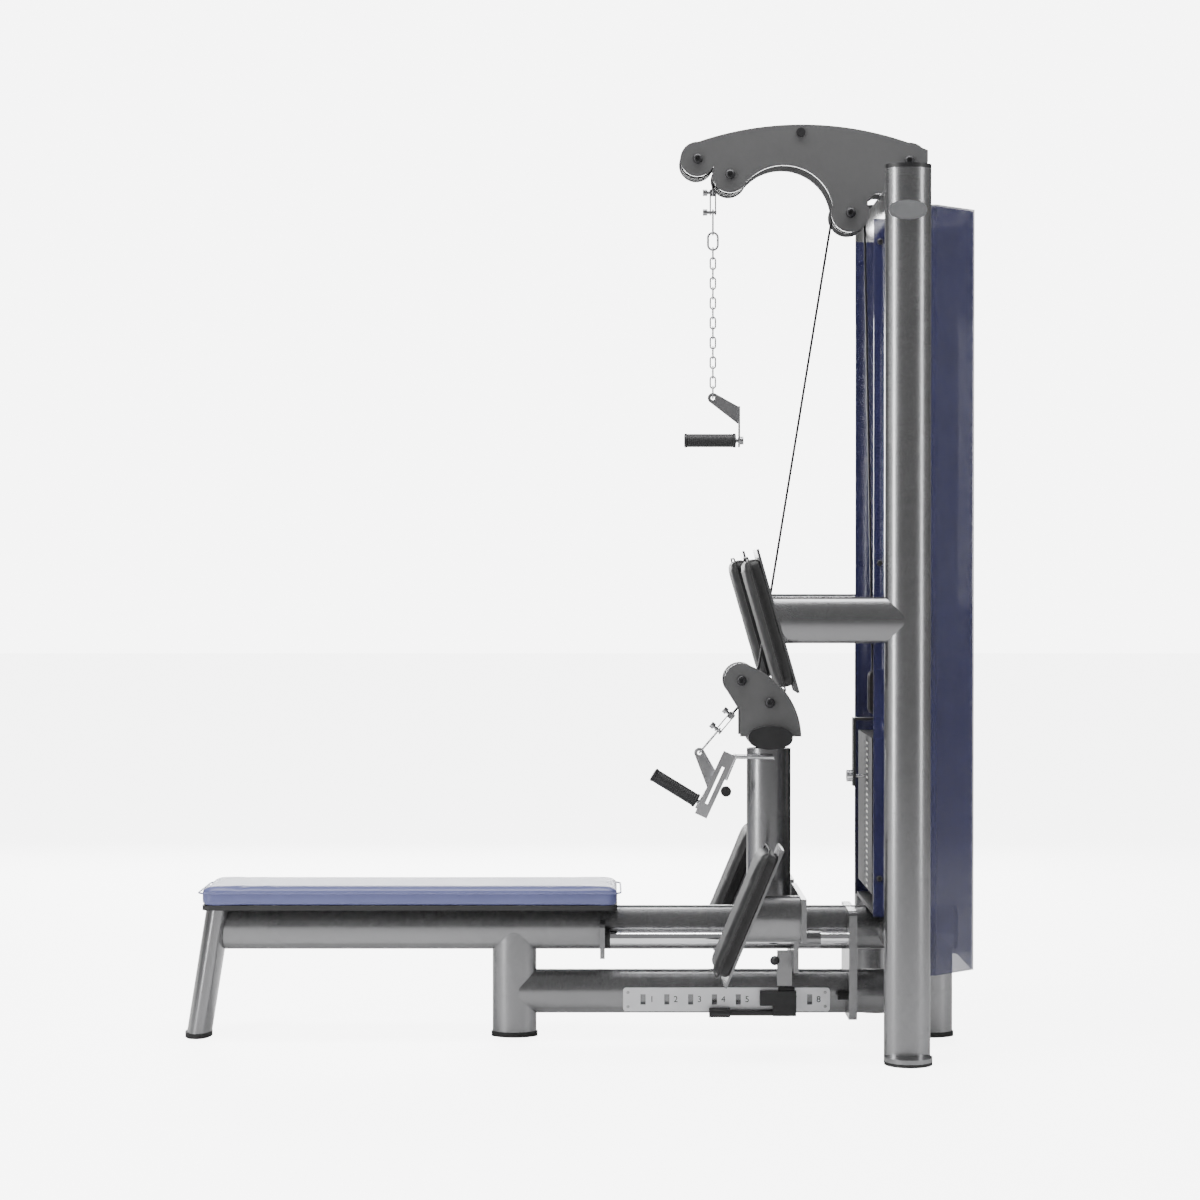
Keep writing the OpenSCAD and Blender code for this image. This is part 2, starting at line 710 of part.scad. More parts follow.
module at_upper_handle() translate([pull_x, 0, hole_z]) children();
module upper_bracket() color("#b8b8ba") at_upper_handle() handle_bracket();
module upper_grip() color("#202020") at_upper_handle() handle_grip();

// The low handle hangs from its shackle by one long link

module low_coupling() color("#b8b8ba") {
    place(low_pin) rotate([0, low_out, 0]) coupling();
    place(low_link_c) rotate([0, low_out, 0]) rotate(90) link(low_link_l, 22);
}
module at_low_handle() place(low_hole) rotate([0, handle_turn, 0]) children();
module low_bracket() color("#b8b8ba") at_low_handle() handle_bracket();
module low_grip() color("#202020") at_low_handle() handle_grip();

// Carriage plate with its sleeves, pad arms, pad plates and latch arm as one weldment

module carriage() color("silver") {
    difference() {
        union() {
            translate([carriage_x, -115, carriage_low]) cube([carriage_t, 230, carriage_high - carriage_low]);
            translate([carriage_x, -column_y - 5, wing_z - 53]) cube([carriage_t, 2 * column_y + 10, 106]);
            for (s = [-1, 1]) translate([carriage_x + carriage_t, s * rod_y, rod_z])
                rotate([0, 90, 0]) cylinder(h = sleeve_l, d = sleeve_d);
        }
        upper_beam_space(slide_clear);
        translate([carriage_x - 1, -tube_narrow / 2 - slide_clear, upper_beam_z])
            cube([carriage_t + 2, tube_narrow + 2 * slide_clear, long]);
        for (s = [-1, 1]) translate([carriage_x - 1, s * rod_y, rod_z])
            rotate([0, 90, 0]) cylinder(h = 100, d = rod_d + 2 * running);
    }
    for (s = [-1, 1]) {
        pad_arm(foot_at, foot_tilt, wing_z, s * pad_y, carriage_x);
        back_plate(foot_at, foot_tilt, s * pad_y);
    }
    translate([latch_x - 23, latch_axis[0] + 4, latch_axis[1] + 8])
        cube([carriage_x - latch_x + 23, 6, 88]);
}

module foot_pad_near() color("#303030") pad_block(foot_at, foot_tilt, -pad_y);
module foot_pad_far() color("#303030") pad_block(foot_at, foot_tilt, pad_y);

module latch_lever() color("#38383a") {
    translate([latch_x - 66, -64, 84]) cube([90, 18, 36]);
    translate([latch_x - 6, -46, 84]) cube([12, 6.8, 22]);
    translate([latch_x - 34, -62, 58]) cube([58, 14, 26]);
    translate([latch_x - 34, -55, 66]) rotate([0, -90, 0]) cylinder(h = 110, d = 16);
    translate([latch_x - 140, -55, 66]) rotate([0, -90, 0]) cylinder(h = 52, d = 24);
    translate([latch_x - 20, -54, 124]) rotate([0, 90, 0]) cylinder(h = 40, d = 12);
}

// Plan outline of the cover, inset by the given amount
module cover_plan(inset) polygon([
    [cover_front - 1, -cover_half_w + inset],
    [cover_bend - inset * tan(cover_turn / 2), -cover_half_w + inset],
    [rear_x - inset, -cover_rear_y + inset * tan(45 - cover_turn / 2)],
    [rear_x - inset, cover_rear_y - inset * tan(45 - cover_turn / 2)],
    [cover_bend - inset * tan(cover_turn / 2), cover_half_w - inset],
    [cover_front - 1, cover_half_w - inset]]);

module cover() color("#3c3c80", 0.5) difference() {
    translate([0, 0, cover_z]) linear_extrude(cover_top - cover_z) cover_plan(0);
    translate([0, 0, cover_z - 1]) linear_extrude(cover_top - cover_z - cover_t + 1) cover_plan(cover_t);
    translate([cover_front - 10, -300, 0]) cube([10, 600, long]);
    translate([cover_front - 20, -300, 0]) cube([beam_rear - cover_front + 20, 600, beam_top + 0.5]);
    translate([cover_front - 20, -300, column_height - tube_broad - 0.5])
        cube([beam_rear - cover_front + 20, 600, 400]);
    translate([rear_run[0][0], 0, cover_top - 10]) cylinder(h = 20, d = 32);
}

module cover_screws() color("#404040") for (s = [-1, 1], z = [420, 1182, 1956])
    translate([cover_front + 15, s * (cover_half_w + 1.5), z]) rotate([90, 0, 0])
        cylinder(h = 3, d = 14, center = true);

upper_beam();
bench_leg();
middle_leg();
lower_beam();
rear_post();
rubber_feet();
columns();
end_caps();
column_badge();
top_cross_beam();
base_cross_tubes();
pad_arms();
chest_pad_near();
chest_pad_far();
bench_board();
bench_pad();
top_plates();
pulley_bolts();
low_post();
low_head_tube();
low_plates();
handle_holder();
holder_knob();
scale_plate();
rod_brackets();
carriage_rods();
rubber_bumpers();
stack_guide_rods();
stack_base();
lower_plates();
cover();
cover_screws();
cable_fixed();
cable_upper_end();
cable_low_end();
cable_stack_runs();
raised_plates();
selector_stem();
floating_housing();
stack_hanger();
cable_floating_wrap();
selector_pin();
nose_pulley();
second_pulley();
rear_pulley();
return_pulley();
floating_pulley();
low_nose_pulley();
low_second_pulley();
carriage();
foot_pad_near();
foot_pad_far();
latch_lever();
upper_coupling();
chain();
upper_bracket();
upper_grip();
low_coupling();
low_bracket();
low_grip();
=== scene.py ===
"""Looks of a lat pulldown and low row machine, built as pieces around its fixed frame."""

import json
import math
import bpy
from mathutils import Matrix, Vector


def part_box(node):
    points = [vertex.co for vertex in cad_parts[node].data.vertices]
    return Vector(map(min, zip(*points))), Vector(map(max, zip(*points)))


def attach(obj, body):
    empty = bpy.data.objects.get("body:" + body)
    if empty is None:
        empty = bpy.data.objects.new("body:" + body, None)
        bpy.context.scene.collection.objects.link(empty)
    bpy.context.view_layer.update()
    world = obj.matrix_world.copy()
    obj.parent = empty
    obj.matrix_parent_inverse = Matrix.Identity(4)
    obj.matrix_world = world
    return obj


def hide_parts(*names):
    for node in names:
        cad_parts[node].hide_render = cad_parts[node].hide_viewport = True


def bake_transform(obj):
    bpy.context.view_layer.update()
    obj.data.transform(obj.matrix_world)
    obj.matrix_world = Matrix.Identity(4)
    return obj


bl_info = {
    "name": "Lat Pulldown Machine",
    "version": (1, 0, 0),
    "blender": (4, 5, 0),
    "location": "View3D > Sidebar > Lat Machine",
    "description": "Adds upholstery, cables, grips, marks and finishes to the machine's frame",
    "category": "Add Mesh",
}

import bmesh
import bpy
from bpy.props import FloatProperty, FloatVectorProperty, IntProperty, PointerProperty
from mathutils import Matrix, Vector

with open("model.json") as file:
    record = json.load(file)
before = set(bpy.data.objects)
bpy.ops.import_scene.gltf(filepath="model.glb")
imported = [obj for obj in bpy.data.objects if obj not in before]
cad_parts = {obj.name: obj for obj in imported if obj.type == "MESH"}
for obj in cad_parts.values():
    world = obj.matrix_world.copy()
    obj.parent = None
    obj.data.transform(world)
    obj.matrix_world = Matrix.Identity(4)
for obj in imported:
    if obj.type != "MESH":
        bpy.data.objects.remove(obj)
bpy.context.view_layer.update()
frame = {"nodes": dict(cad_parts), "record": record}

# Pad shaping, in metres and as shares of the half width
BACK_RIM = 0.004
SIDE_SWELL = 0.003
SIDE_PULL = 0.014
END_PULL = 0.006

# Leans of turned pieces, in degrees
CHEST_TILT = 16.0
FOOT_TILT = -22.7
LOW_CABLE_LEAN = 40.3
LOW_HANDLE_LEAN = 31.5

# Stack and scale plate
LOWER_PLATES = 19
RAISED_PLATES = 7
PLATE_GAP = 0.0003
SLOT_PITCH = 0.0593
FIRST_SLOT = 0.0497
NUMBER_SHIFT = 0.022
NUMBER_SIZE = 0.022
STRIP_SIZE = (0.0008, 0.034, 0.0052)
STRIP_Y = -0.052

# Grips and latch ball
GRIP_RADIUS = 0.0166
GRIP_RIBS = 22
BALL_RADIUS = 0.012
BALL_BACK = 0.055
BALL_OUT = 0.006
BALL_Z = 0.200

# Fixings
SINK = 0.0002
MIDDLE_SCREW_Z = 1.182
RIVET_INSET = 0.012


# ---------------------------------------------------------------- settings


class LatStageSettings(bpy.types.PropertyGroup):
    """Camera, floor and light."""

    camera_distance: FloatProperty(
        name="Camera distance", description="From the machine's middle plane", default=6.6, unit="LENGTH"
    )
    camera_height: FloatProperty(
        name="Camera height", description="Above the floor", default=1.1675, unit="LENGTH"
    )
    camera_x: FloatProperty(
        name="Camera station", description="Along the machine", default=0.061, unit="LENGTH"
    )
    camera_drop: FloatProperty(
        name="Camera drop", description="How far the lens looks down", default=math.radians(0.67),
        subtype="ANGLE",
    )
    lens: FloatProperty(name="Lens", description="Focal length in millimetres", default=79.2)
    room_light: FloatProperty(name="Room light", description="Soft light from all round", default=0.22)
    backdrop_light: FloatProperty(name="Backdrop", description="How bright the backdrop is", default=7.0)
    floor_glow: FloatProperty(
        name="Floor glow", description="How far the floor is lifted to white", default=6.5
    )
    floor_colour: FloatVectorProperty(
        name="Floor", description="Floor colour", subtype="COLOR", default=(0.90, 0.90, 0.90)
    )


class LatPadSettings(bpy.types.PropertyGroup):
    """Upholstery sizes and colours."""

    crown: FloatProperty(
        name="Crown", description="Rise of the middle of a pad", default=0.006, unit="LENGTH"
    )
    corner: FloatProperty(
        name="Corner", description="Radius of a pad's corners", default=0.028, unit="LENGTH"
    )
    rim: FloatProperty(name="Rim", description="Radius of the front rim", default=0.011, unit="LENGTH")
    piping: FloatProperty(
        name="Piping", description="Radius of the sewn piping", default=0.0022, unit="LENGTH"
    )
    voxel: FloatProperty(
        name="Mesh size", description="Spacing of a pad's mesh", default=0.006, unit="LENGTH"
    )
    bench_colour: FloatVectorProperty(
        name="Bench vinyl", description="Bench pad colour", subtype="COLOR", default=(0.11, 0.12, 0.27)
    )
    pad_colour: FloatVectorProperty(
        name="Black vinyl", description="Chest and foot pad colour", subtype="COLOR",
        default=(0.010, 0.010, 0.0105),
    )


class LatFrameSettings(bpy.types.PropertyGroup):
    """Colours of metal and plastic."""

    frame_colour: FloatVectorProperty(
        name="Frame coat", description="Metallic grey coat", subtype="COLOR", default=(0.24, 0.24, 0.245)
    )
    plate_colour: FloatVectorProperty(
        name="Side plates", description="Pulley side plates", subtype="COLOR", default=(0.14, 0.14, 0.142)
    )
    cover_colour: FloatVectorProperty(
        name="Cover", description="Translucent cover", subtype="COLOR", default=(0.026, 0.027, 0.085)
    )
    slot_count: IntProperty(name="Slots", description="Slots in the scale plate", default=8)


# ---------------------------------------------------------------- shader maths


class Wire:
    """A shader socket that takes part in Python expressions."""

    def __init__(self, tree, socket):
        self.tree = tree
        self.socket = socket

    def _math(self, operation, *values):
        return self.tree.add("ShaderNodeMath", {"operation": operation}, dict(enumerate(values)))

    def __add__(self, other):
        return self._math("ADD", self, other)

    def __radd__(self, other):
        return self._math("ADD", other, self)

    def __mul__(self, other):
        return self._math("MULTIPLY", self, other)

    def __rmul__(self, other):
        return self._math("MULTIPLY", other, self)


class Finish:
    """Builds one node material."""

    def __init__(self, name):
        self.material = bpy.data.materials.new(name)
        self.material.use_nodes = True
        self.nodes = self.material.node_tree.nodes
        self.links = self.material.node_tree.links
        self.shader = self.nodes["Principled BSDF"]
        self.place = self.add("ShaderNodeTexCoord", {}, {}, "Object")

    def add(self, kind, settings, values, output=0):
        """Any node, from its type, its settings and its sockets' values or links."""
        node = self.nodes.new(kind)
        for key, value in settings.items():
            setattr(node, key, value)
        for key, value in values.items():
            self.feed(node.inputs[key], value)
        return Wire(self, node.outputs[output])

    def feed(self, socket, value):
        if isinstance(value, Wire):
            self.links.new(value.socket, socket)
        else:
            socket.default_value = value

    def noise(self, scale, detail=3.0, stretch=(1, 1, 1), rough=0.5):
        spot = self.add(
            "ShaderNodeMapping", {}, {"Vector": self.place, "Scale": stretch}
        )
        return self.add(
            "ShaderNodeTexNoise", {}, {"Vector": spot, "Scale": scale, "Detail": detail, "Roughness": rough}
        )

    def cells(self, scale):
        return self.add("ShaderNodeTexVoronoi", {}, {"Vector": self.place, "Scale": scale})

    def blend(self, mask, first, second):
        """Colour mix of two colours by a mask."""
        return self.add(
            "ShaderNodeMix", {"data_type": "RGBA"},
            {0: mask, 6: (*first, 1.0), 7: (*second, 1.0)}, 2,
        )

    def bump(self, height, strength, distance):
        bump = self.add(
            "ShaderNodeBump", {}, {"Height": height, "Strength": strength, "Distance": distance}
        )
        self.feed(self.shader.inputs["Normal"], bump)

    def set(self, **values):
        for key, value in values.items():
            self.feed(self.shader.inputs[key.replace("_", " ")], value)


def shade(colour, factor):
    """A colour made lighter or darker."""
    return tuple(min(1.0, part * factor) for part in colour)


def metallic_coat(name, colour, metal=0.88, rough=0.24):
    """Metallic powder coat: fine flake, faint orange peel, handled patches."""
    f = Finish(name)
    flake = f.cells(2600.0)
    peel = f.noise(420.0, 2.0)
    patch = f.noise(7.0, 4.0)
    f.set(Metallic=metal, Coat_Weight=0.35, Coat_Roughness=0.12)
    mottle = patch * 0.6 + flake * 0.4
    f.feed(f.shader.inputs["Base Color"], f.blend(mottle, shade(colour, 0.88), shade(colour, 1.1)))
    f.feed(f.shader.inputs["Roughness"], patch * 0.08 + (rough - 0.04) + flake * 0.05)
    f.bump(peel * 0.7 + flake * 0.3, 0.06, 0.0004)
    return f.material


def polished(name, colour, rough, metal=1.0, grain=(1, 1, 1)):
    """Bare metal with fine lines along the piece and a few smudges."""
    f = Finish(name)
    lines = f.noise(300.0, 3.0, grain)
    smudge = f.noise(14.0, 5.0)
    f.set(Metallic=metal)
    f.feed(f.shader.inputs["Base Color"], f.blend(smudge, shade(colour, 0.9), shade(colour, 1.05)))
    f.feed(f.shader.inputs["Roughness"], lines * 0.08 + smudge * 0.08 + (rough - 0.05))
    f.bump(lines, 0.03, 0.0003)
    return f.material


def moulded(name, colour, rough=0.45, grain=900.0, depth=0.18):
    """Moulded plastic or rubber with a fine spark-eroded grain."""
    f = Finish(name)
    pits = f.noise(grain, 2.0)
    scuff = f.noise(22.0, 5.0)
    f.feed(f.shader.inputs["Base Color"], f.blend(scuff, shade(colour, 0.75), shade(colour, 1.35)))
    f.feed(f.shader.inputs["Roughness"], scuff * 0.16 + (rough - 0.08))
    f.bump(pits, depth, 0.0004)
    return f.material


def vinyl(name, colour, sheen, coat, rough):
    """Upholstery vinyl: pebbled grain, soft creases, a worn sheen."""
    f = Finish(name)
    pebble = f.cells(620.0)
    crease = f.noise(60.0, 4.0, (1.0, 1.0, 1.0), 0.6)
    wear = f.noise(5.0, 4.0)
    f.set(Coat_Weight=coat, Coat_Roughness=0.3, Sheen_Weight=sheen, Sheen_Roughness=0.25)
    mottle = wear * 0.7 + pebble * 0.3
    f.feed(f.shader.inputs["Base Color"], f.blend(mottle, shade(colour, 0.82), shade(colour, 1.25)))
    f.feed(f.shader.inputs["Roughness"], wear * 0.14 + pebble * 0.1 + rough)
    f.bump(pebble * 0.7 + crease * 0.5, 0.32, 0.0006)
    return f.material


def tinted_sheet(name, colour):
    """Translucent acrylic, glossy with a faint haze."""
    f = Finish(name)
    haze = f.noise(9.0, 3.0)
    fine = f.noise(260.0, 2.0)
    f.set(Coat_Weight=0.6, Coat_Roughness=0.05)
    f.feed(f.shader.inputs["Base Color"], f.blend(haze, shade(colour, 0.8), shade(colour, 1.3)))
    f.feed(f.shader.inputs["Roughness"], haze * 0.08 + 0.12)
    f.feed(f.shader.inputs["Alpha"], haze * 0.08 + 0.72)
    f.bump(fine, 0.02, 0.0002)
    return f.material


def stack_enamel(name, colour):
    """Cast plates under satin black enamel."""
    f = Finish(name)
    cast = f.noise(180.0, 4.0, (1, 1, 1), 0.7)
    rub = f.noise(24.0, 4.0)
    f.feed(f.shader.inputs["Base Color"], f.blend(rub, shade(colour, 0.7), shade(colour, 1.5)))
    f.feed(f.shader.inputs["Roughness"], rub * 0.15 + 0.44)
    f.bump(cast, 0.2, 0.0006)
    return f.material


def board_paint(name):
    """Painted plywood underside."""
    f = Finish(name)
    grain = f.noise(70.0, 4.0, (0.08, 1, 1))
    f.feed(f.shader.inputs["Base Color"], f.blend(grain, (0.012, 0.012, 0.012), (0.03, 0.03, 0.03)))
    f.feed(f.shader.inputs["Roughness"], grain * 0.2 + 0.5)
    f.bump(grain, 0.25, 0.0006)
    return f.material


FINISHES = {}


def finish_for(slot_name):
    return FINISHES[slot_name]


def make_finishes(scene):
    """One material for each slot of the record, and a few for marks."""
    coat = scene.lat_frame
    pads = scene.lat_pads
    FINISHES.update(
        frame=metallic_coat("frame_coat", coat.frame_colour),
        side_plate=metallic_coat("side_plate_coat", coat.plate_colour, 0.5, 0.36),
        rubber=moulded("foot_rubber", (0.012, 0.012, 0.012), 0.7),
        cap=moulded("cap_plastic", (0.014, 0.014, 0.015), 0.4),
        badge=polished("badge_metal", (0.62, 0.63, 0.65), 0.3),
        pad_black=vinyl("black_vinyl", pads.pad_colour, 0.0, 0.05, 0.46),
        bench_vinyl=vinyl("bench_vinyl", pads.bench_colour, 1.0, 0.3, 0.3),
        board=board_paint("board_paint"),
        bolt=polished("bolt_oxide", (0.05, 0.05, 0.052), 0.4, 0.8),
        chrome=polished("chrome_plate", (0.88, 0.88, 0.9), 0.09, 1.0, (0.02, 1, 1)),
        steel=polished("brushed_steel", (0.42, 0.42, 0.43), 0.3, 1.0, (1, 1, 0.05)),
        scale=polished("scale_metal", (0.72, 0.72, 0.74), 0.36, 0.7, (0.03, 1, 1)),
        stack=stack_enamel("stack_enamel", (0.012, 0.012, 0.013)),
        pulley=moulded("pulley_nylon", (0.016, 0.016, 0.017), 0.38),
        cable=moulded("cable_coat", (0.01, 0.01, 0.011), 0.32, 500.0, 0.08),
        grip=moulded("grip_rubber", (0.014, 0.014, 0.015), 0.55, 420.0, 0.5),
        cover=tinted_sheet("cover_acrylic", coat.cover_colour),
        label=moulded("label_paint", (0.72, 0.72, 0.70), 0.4, 300.0, 0.05),
        mark=moulded("mark_paint", (0.02, 0.02, 0.02), 0.5, 300.0, 0.05),
    )


# ---------------------------------------------------------------- mesh helpers


def node_centre(node):
    low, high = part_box(node)
    return (low + high) / 2


def finish_mesh(name, bm, body, slot, material=None, turn=None, sharp=38.0):
    """Turns a bmesh into a piece that rides on a body and wears a slot's finish."""
    if turn is not None:
        bmesh.ops.transform(bm, matrix=turn, verts=bm.verts)
    bmesh.ops.recalc_face_normals(bm, faces=bm.faces)
    mesh = bpy.data.meshes.new(name)
    bm.to_mesh(mesh)
    bm.free()
    for polygon in mesh.polygons:
        polygon.use_smooth = True
    mesh.set_sharp_from_angle(angle=math.radians(sharp))
    piece = bpy.data.objects.new(name, mesh)
    bpy.context.scene.collection.objects.link(piece)
    mesh.materials.append(material or finish_for(slot))
    if body:
        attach(piece, body)
    return piece


def block(bm, size, centre, bevel=0.0, segments=2):
    """Adds a box with rounded edges to a bmesh."""
    made = bmesh.ops.create_cube(bm, size=1.0)
    bmesh.ops.scale(bm, vec=size, verts=made["verts"])
    bmesh.ops.translate(bm, vec=centre, verts=made["verts"])
    if bevel:
        edges = list({edge for vert in made["verts"] for edge in vert.link_edges})
        bmesh.ops.bevel(
            bm, geom=edges, offset=bevel, segments=segments, profile=0.5, affect="EDGES", material=-1
        )


def round_piece(bm, profile, turn, steps=40):
    """Spins a profile about Z in its own bmesh, then adds it, turned, to bm."""
    part = bmesh.new()
    verts = [part.verts.new((radius, 0, z)) for z, radius in profile]
    edges = [part.edges.new(pair) for pair in zip(verts, verts[1:])]
    bmesh.ops.spin(
        part, geom=verts + edges, cent=(0, 0, 0), axis=(0, 0, 1), angle=2 * math.pi, steps=steps,
        use_merge=True, use_duplicate=False,
    )
    bmesh.ops.remove_doubles(part, verts=part.verts, dist=1e-6)
    bmesh.ops.recalc_face_normals(part, faces=part.faces)
    bmesh.ops.transform(part, matrix=turn, verts=part.verts)
    mesh = bpy.data.meshes.new("round_part")
    part.to_mesh(mesh)
    part.free()
    bm.from_mesh(mesh)
    bpy.data.meshes.remove(mesh)


def along(axis, place):
    """Matrix that stands a form drawn along Z on another axis at a place."""
    turn = Vector((0, 0, 1)).rotation_difference(Vector(axis)).to_matrix().to_4x4()
    return Matrix.Translation(place) @ turn


# ---------------------------------------------------------------- upholstery


def pad_blank(size, corner, rim):
    """Closed rounded block of the size given, with its front at -X."""
    thick = size[0]
    bm = bmesh.new()
    bmesh.ops.create_cube(bm, size=1.0)
    bmesh.ops.scale(bm, vec=size, verts=bm.verts)
    sides = [e for e in bm.edges if abs(e.verts[0].co.x - e.verts[1].co.x) > thick / 2]
    bmesh.ops.bevel(bm, geom=sides, offset=corner, segments=8, profile=0.5, affect="EDGES", material=-1)
    for place, radius in ((-thick / 2, rim), (thick / 2, BACK_RIM)):
        ring = [e for e in bm.edges if all(abs(v.co.x - place) < 1e-5 for v in e.verts)]
        bmesh.ops.bevel(bm, geom=ring, offset=radius, segments=5, profile=0.5, affect="EDGES", material=-1)
    return bm


def inflate(piece, cap, pressure=4.0, frames=20):
    """Swells a remeshed pad with air, caps how far each point moves, and keeps its back flat."""
    before = [v.co.copy() for v in piece.data.vertices]
    cloth = piece.modifiers.new("air", "CLOTH")
    cloth.settings.use_pressure = True
    cloth.settings.uniform_pressure_force = pressure
    cloth.settings.effector_weights.gravity = 0.0
    scene = bpy.context.scene
    for step in range(1, frames + 1):
        scene.frame_set(step)
    shape = piece.evaluated_get(bpy.context.evaluated_depsgraph_get())
    after = [v.co.copy() for v in shape.data.vertices]
    piece.modifiers.clear()
    scene.frame_set(1)
    back = max(v.x for v in before)
    for vert, start, end in zip(piece.data.vertices, before, after):
        move = end - start
        if move.length > cap:
            move *= cap / move.length
        if start.x + move.x > back:
            move.x = back - start.x
        vert.co = start + move


def remeshed(name, bm, voxel):
    """An object with an even mesh over a closed form."""
    mesh = bpy.data.meshes.new(name)
    bmesh.ops.recalc_face_normals(bm, faces=bm.faces)
    bm.to_mesh(mesh)
    bm.free()
    piece = bpy.data.objects.new(name, mesh)
    bpy.context.scene.collection.objects.link(piece)
    remesh = piece.modifiers.new("even", "REMESH")
    remesh.mode = "VOXEL"
    remesh.voxel_size = voxel
    even = bpy.data.meshes.new_from_object(piece.evaluated_get(bpy.context.evaluated_depsgraph_get()))
    piece.modifiers.clear()
    piece.data = even
    bpy.data.meshes.remove(mesh)
    return piece


def waisted(bm, size):
    """Pulls a pad's sides in between its corners."""
    _, wide, tall = size
    for vert in bm.verts:
        across = 2 * abs(vert.co.y) / wide
        along_pad = 2 * abs(vert.co.z) / tall
        vert.co.y *= 1 - SIDE_PULL * max(0.0, 1 - along_pad ** 2) * across ** 3
        vert.co.z *= 1 - END_PULL * max(0.0, 1 - across ** 2) * along_pad ** 3


def piping_ring(name, size, corner, depth_x, radius, turn, body, slot):
    """Sewn piping along a pad's front rim."""
    _, wide, tall = size
    curve = bpy.data.curves.new(name, "CURVE")
    curve.dimensions = "3D"
    curve.bevel_depth = radius
    curve.bevel_resolution = 3
    spline = curve.splines.new("POLY")
    points = []
    inset = SIDE_SWELL / 2
    for turn_index, (sy, sz) in enumerate(((1, 1), (-1, 1), (-1, -1), (1, -1))):
        centre = Vector((depth_x, sy * (wide / 2 - corner - inset), sz * (tall / 2 - corner - inset)))
        for step in range(9):
            angle = math.radians(90 * turn_index + 90 * step / 8)
            points.append(centre + corner * Vector((0, math.cos(angle), math.sin(angle))))
    spline.points.add(len(points) - 1)
    for point, place in zip(spline.points, points):
        point.co = (*(turn @ place), 1.0)
    spline.use_cyclic_u = True
    shape = bpy.data.objects.new(name + "_path", curve)
    mesh = bpy.data.meshes.new_from_object(shape)
    mesh.name = name
    bpy.data.objects.remove(shape)
    for polygon in mesh.polygons:
        polygon.use_smooth = True
    piece = bpy.data.objects.new(name, mesh)
    bpy.context.scene.collection.objects.link(piece)
    mesh.materials.append(finish_for(slot))
    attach(piece, body)


def make_pad(node, body, slot, size, turn, settings):
    """One upholstered pad with its piping in place of its plain solid."""
    thick, wide, tall = size
    start = (thick - settings.crown, wide - 2 * SIDE_SWELL, tall - 2 * SIDE_SWELL)
    bm = pad_blank(start, settings.corner, settings.rim)
    bmesh.ops.translate(bm, vec=(settings.crown / 2, 0, 0), verts=bm.verts)
    piece = remeshed(node + "_upholstery", bm, settings.voxel)
    inflate(piece, settings.crown)
    bm = bmesh.new()
    bm.from_mesh(piece.data)
    bmesh.ops.smooth_vert(bm, verts=bm.verts, factor=0.5, use_axis_x=True, use_axis_y=True, use_axis_z=True)
    waisted(bm, size)
    bmesh.ops.transform(bm, matrix=turn, verts=bm.verts)
    bm.to_mesh(piece.data)
    bm.free()
    for polygon in piece.data.polygons:
        polygon.use_smooth = True
    piece.data.materials.clear()
    piece.data.materials.append(finish_for(slot))
    soft = piece.modifiers.new("soft", "SUBSURF")
    soft.levels = 1
    soft.render_levels = 1
    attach(piece, body)
    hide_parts(node)
    seam_x = -thick / 2 + settings.crown + settings.rim
    piping_ring(node + "_piping", size, settings.corner, seam_x, settings.piping, turn, body, slot)


def tilted_size(node, tilt):
    """Thickness, width and length of a block turned by tilt about Y, from its box."""
    low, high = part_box(node)
    size = high - low
    c, s = math.cos(tilt), math.sin(tilt)
    long_side = (size.z * c - size.x * s) / (c * c - s * s)
    thick = (size.x * c - size.z * s) / (c * c - s * s)
    return thick, size.y, long_side


class LAT_OT_upholstery(bpy.types.Operator):
    """Makes the bench pad, the chest pads and the foot pads."""

    bl_idname = "lat.upholstery"
    bl_label = "Upholstery"

    def execute(self, context):
        settings = context.scene.lat_pads
        low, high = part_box("bench_pad")
        size = high - low
        lie = Matrix.Translation(node_centre("bench_pad")) @ Matrix.Rotation(math.radians(90), 4, "Y")
        make_pad("bench_pad", "root", "bench_vinyl", (size.z, size.y, size.x), lie, settings)
        for kind, tilt, body in (("chest", CHEST_TILT, "root"), ("foot", FOOT_TILT, "carriage")):
            for side in ("near", "far"):
                node = f"{kind}_pad_{side}"
                angle = math.radians(tilt)
                turn = Matrix.Translation(node_centre(node)) @ Matrix.Rotation(-angle, 4, "Y")
                make_pad(node, body, "pad_black", tilted_size(node, abs(angle)), turn, settings)
        return {"FINISHED"}


# ---------------------------------------------------------------- cables


def cable_run(name, start, end, radius, node):
    """Straight cable drawn from one point to another, with rings along its length; it is not tied to a body.
    """
    length = (end - start).length
    bm = bmesh.new()
    bmesh.ops.create_cone(
        bm, cap_ends=True, segments=16, radius1=radius, radius2=radius, depth=length,
        matrix=Matrix.Translation((0, 0, length / 2)),
    )
    rails = [e for e in bm.edges if abs(e.verts[0].co.z - e.verts[1].co.z) > length / 2]
    bmesh.ops.subdivide_edges(bm, edges=rails, cuts=30)
    piece = finish_mesh(name, bm, None, "cable", turn=along(end - start, start))
    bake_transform(piece)
    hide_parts(node)


def tangent(first, second, side_a, side_b, radius):
    """Ends of a straight cable between two pulleys in the XZ plane."""
    a, b = Vector((first.x, first.z)), Vector((second.x, second.z))
    gap = (b - a).length
    u = (b - a) / gap
    k = (side_a - side_b) * radius / gap
    n = k * u + math.sqrt(1 - k * k) * Vector((-u.y, u.x))
    p, q = a + side_a * radius * n, b + side_b * radius * n
    return Vector((p.x, 0, p.y)), Vector((q.x, 0, q.y))


